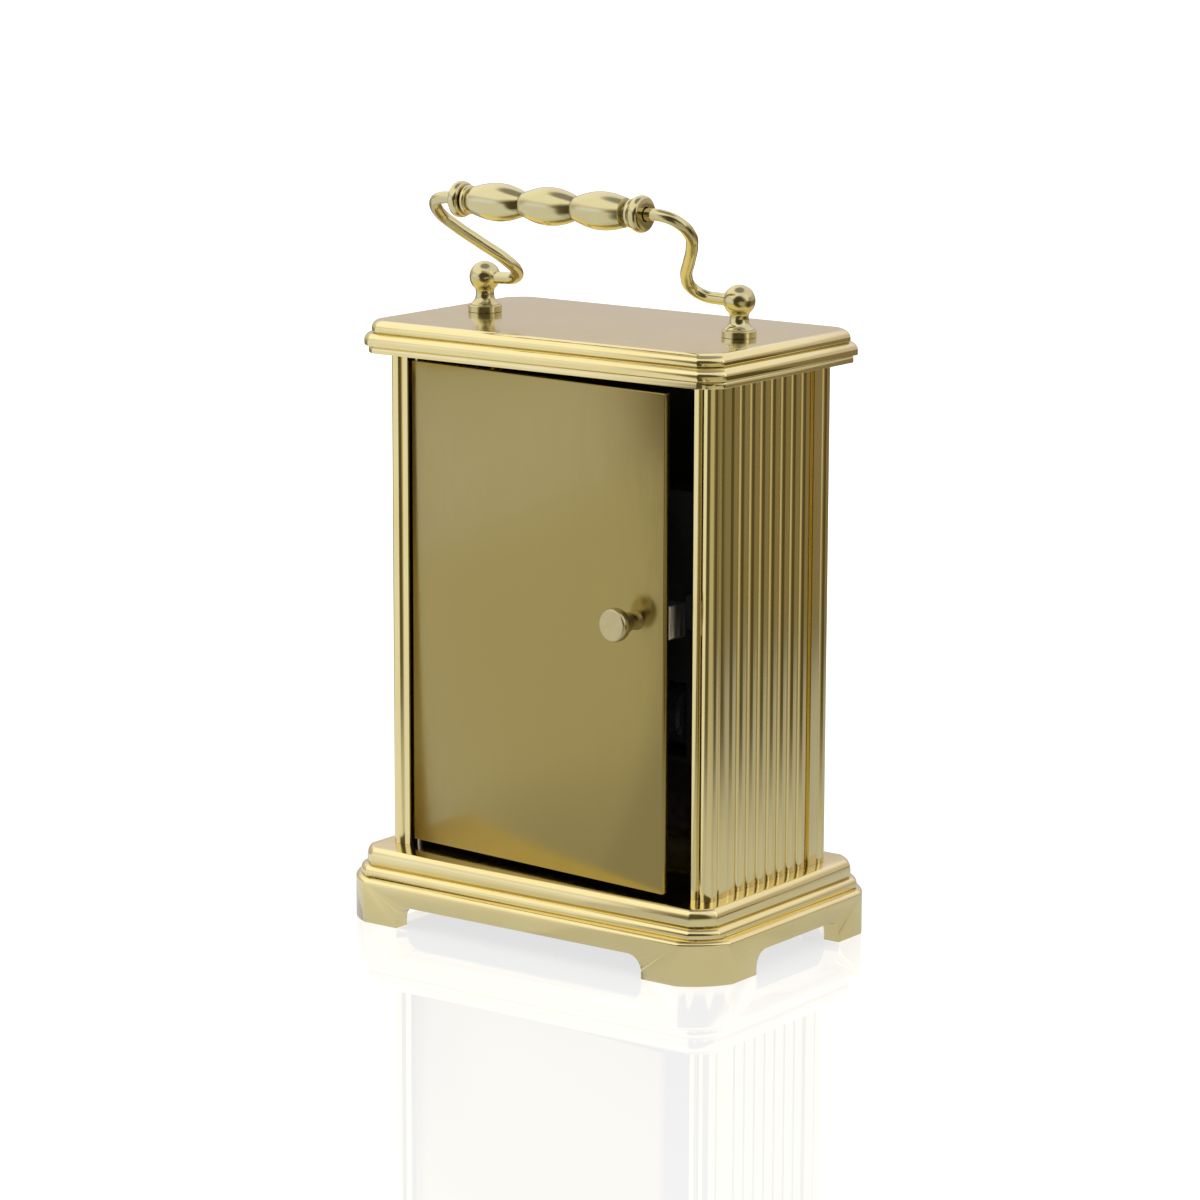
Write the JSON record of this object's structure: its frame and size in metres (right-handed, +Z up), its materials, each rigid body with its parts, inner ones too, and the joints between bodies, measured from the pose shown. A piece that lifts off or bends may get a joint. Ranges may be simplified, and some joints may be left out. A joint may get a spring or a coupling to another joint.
{
  "type": "mantel clock",
  "caption": "Brass carriage-style mantel clock with reeded sides, moulded top and base, a swinging bail handle, a hinged back door with a knob, and a quartz movement behind a glazed dial.",
  "frame": {"origin": "on the ground under the centre of the case", "axes": "+Z up, -Y towards the dial side, +Y towards the door side, +X towards the door hinge"},
  "size_m": [0.0964, 0.0646, 0.1558],
  "materials": {
    "polished_brass": "polished and lacquered cast and sheet brass",
    "door_brass": "polished rolled brass sheet, lacquered",
    "nickel_steel": "nickel-plated steel",
    "magnet": "dark ferrite magnet",
    "black_paint": "satin black paint on steel",
    "black_plastic": "moulded black plastic",
    "white_plastic": "moulded white acetal",
    "dial_white": "white enamel paint",
    "hand_black": "black lacquered steel",
    "glass": "clear bevelled glass",
    "copper_wire": "enamelled copper winding wire",
    "circuit_board": "green printed circuit board",
    "battery_wrap": "plain dark wrap on a steel can",
    "black_felt": "black felt-faced board"
  },
  "bodies": {
    "case": {"base_plinth": "polished_brass", "base_cover": "black_felt", "cornice": "polished_brass", "post_back_right": "polished_brass", "post_back_left": "polished_brass", "post_front_right": "polished_brass", "post_front_left": "polished_brass", "side_panel_right": "polished_brass", "side_panel_left": "polished_brass", "tie_rod_back_right": "nickel_steel", "tie_rod_back_left": "nickel_steel", "tie_rod_front_right": "nickel_steel", "tie_rod_front_left": "nickel_steel", "front_frame": "polished_brass", "front_glass": "glass", "dial_spacer": "polished_brass", "dial_plate": "dial_white", "mounting_plate": "black_paint", "dial_retainer_right": "black_paint", "dial_retainer_left": "black_paint", "movement_cover": "black_plastic", "movement_case": "black_plastic", "fixing_nut": "polished_brass", "battery": "battery_wrap", "battery_contact_plus": "nickel_steel", "battery_contact_minus": "nickel_steel", "circuit_board": "circuit_board", "coil": "copper_wire", "coil_core": "nickel_steel", "stator": "nickel_steel", "catch_bracket": "nickel_steel", "catch_magnet": "magnet", "handle_post_right": "polished_brass", "handle_post_left": "polished_brass", "handle_nut_right": "nickel_steel", "handle_nut_left": "nickel_steel"},
    "handle": {"handle_grip": "polished_brass", "grip_collar_right": "polished_brass", "grip_collar_left": "polished_brass", "handle_arm_right": "polished_brass", "handle_arm_left": "polished_brass"},
    "door": {"back_door": "door_brass", "door_pivot_lower": "nickel_steel", "door_pivot_upper": "nickel_steel", "door_knob": "polished_brass", "knob_screw": "nickel_steel", "catch_strike": "nickel_steel"},
    "minute": {"centre_arbor": "nickel_steel", "minute_hand": "hand_black", "hand_nut": "polished_brass"},
    "hour": {"hour_wheel": "white_plastic", "hour_hand": "hand_black"},
    "minute_wheel": {"minute_wheel": "white_plastic"},
    "setting_knob": {"setting_knob": "black_plastic"},
    "seconds_wheel": {"seconds_wheel": "white_plastic"},
    "fifth_wheel": {"fifth_wheel": "white_plastic"},
    "rotor": {"rotor": "magnet"},
    "third_wheel": {"third_wheel": "white_plastic"},
    "centre_wheel": {"centre_wheel": "white_plastic"}
  },
  "joints": [
    {"name": "door_hinge", "type": "hinge", "parent": "case", "child": "door", "pos_m": [0.0348, 0.0194, 0.067], "axis": [0, 0, -1], "range_deg": [-4.7, 100.3]},
    {"name": "handle_hinge", "type": "hinge", "parent": "case", "child": "handle", "pos_m": [0, 0, 0.1335], "axis": [1, 0, 0], "range_deg": [-44.5, 139.5]},
    {"name": "minute_spin", "type": "hinge", "parent": "case", "child": "minute", "pos_m": [0, 0, 0.0675], "axis": [0, 1, 0], "continuous": true},
    {"name": "hour_spin", "type": "hinge", "parent": "case", "child": "hour", "pos_m": [0, 0, 0.0675], "axis": [0, 1, 0], "continuous": true},
    {"name": "minute_wheel_spin", "type": "hinge", "parent": "case", "child": "minute_wheel", "pos_m": [0, 0, 0.076], "axis": [0, 1, 0], "continuous": true},
    {"name": "setting_knob_spin", "type": "hinge", "parent": "case", "child": "setting_knob", "pos_m": [0, 0, 0.0845], "axis": [0, 1, 0], "continuous": true},
    {"name": "rotor_spin", "type": "hinge", "parent": "case", "child": "rotor", "pos_m": [-0.01989, 0, 0.07346], "axis": [0, 1, 0], "continuous": true},
    {"name": "fifth_wheel_spin", "type": "hinge", "parent": "case", "child": "fifth_wheel", "pos_m": [-0.01435, 0, 0.07548], "axis": [0, 1, 0], "continuous": true},
    {"name": "seconds_wheel_spin", "type": "hinge", "parent": "case", "child": "seconds_wheel", "pos_m": [-0.00873, 0, 0.07449], "axis": [0, 1, 0], "continuous": true},
    {"name": "third_wheel_spin", "type": "hinge", "parent": "case", "child": "third_wheel", "pos_m": [-0.0075, 0, 0.0675], "axis": [0, 1, 0], "continuous": true},
    {"name": "centre_wheel_spin", "type": "hinge", "parent": "case", "child": "centre_wheel", "pos_m": [0, 0, 0.0675], "axis": [0, 1, 0], "continuous": true}
  ],
  "couplings": [
    {"joint": "hour_spin", "follows": "minute_spin", "ratio": 0.083333},
    {"joint": "minute_wheel_spin", "follows": "minute_spin", "ratio": -0.33333},
    {"joint": "setting_knob_spin", "follows": "minute_spin", "ratio": 1},
    {"joint": "fifth_wheel_spin", "follows": "rotor_spin", "ratio": -0.16667},
    {"joint": "seconds_wheel_spin", "follows": "rotor_spin", "ratio": 0.033333},
    {"joint": "third_wheel_spin", "follows": "rotor_spin", "ratio": -0.0044444},
    {"joint": "centre_wheel_spin", "follows": "rotor_spin", "ratio": 0.00055556}
  ]
}
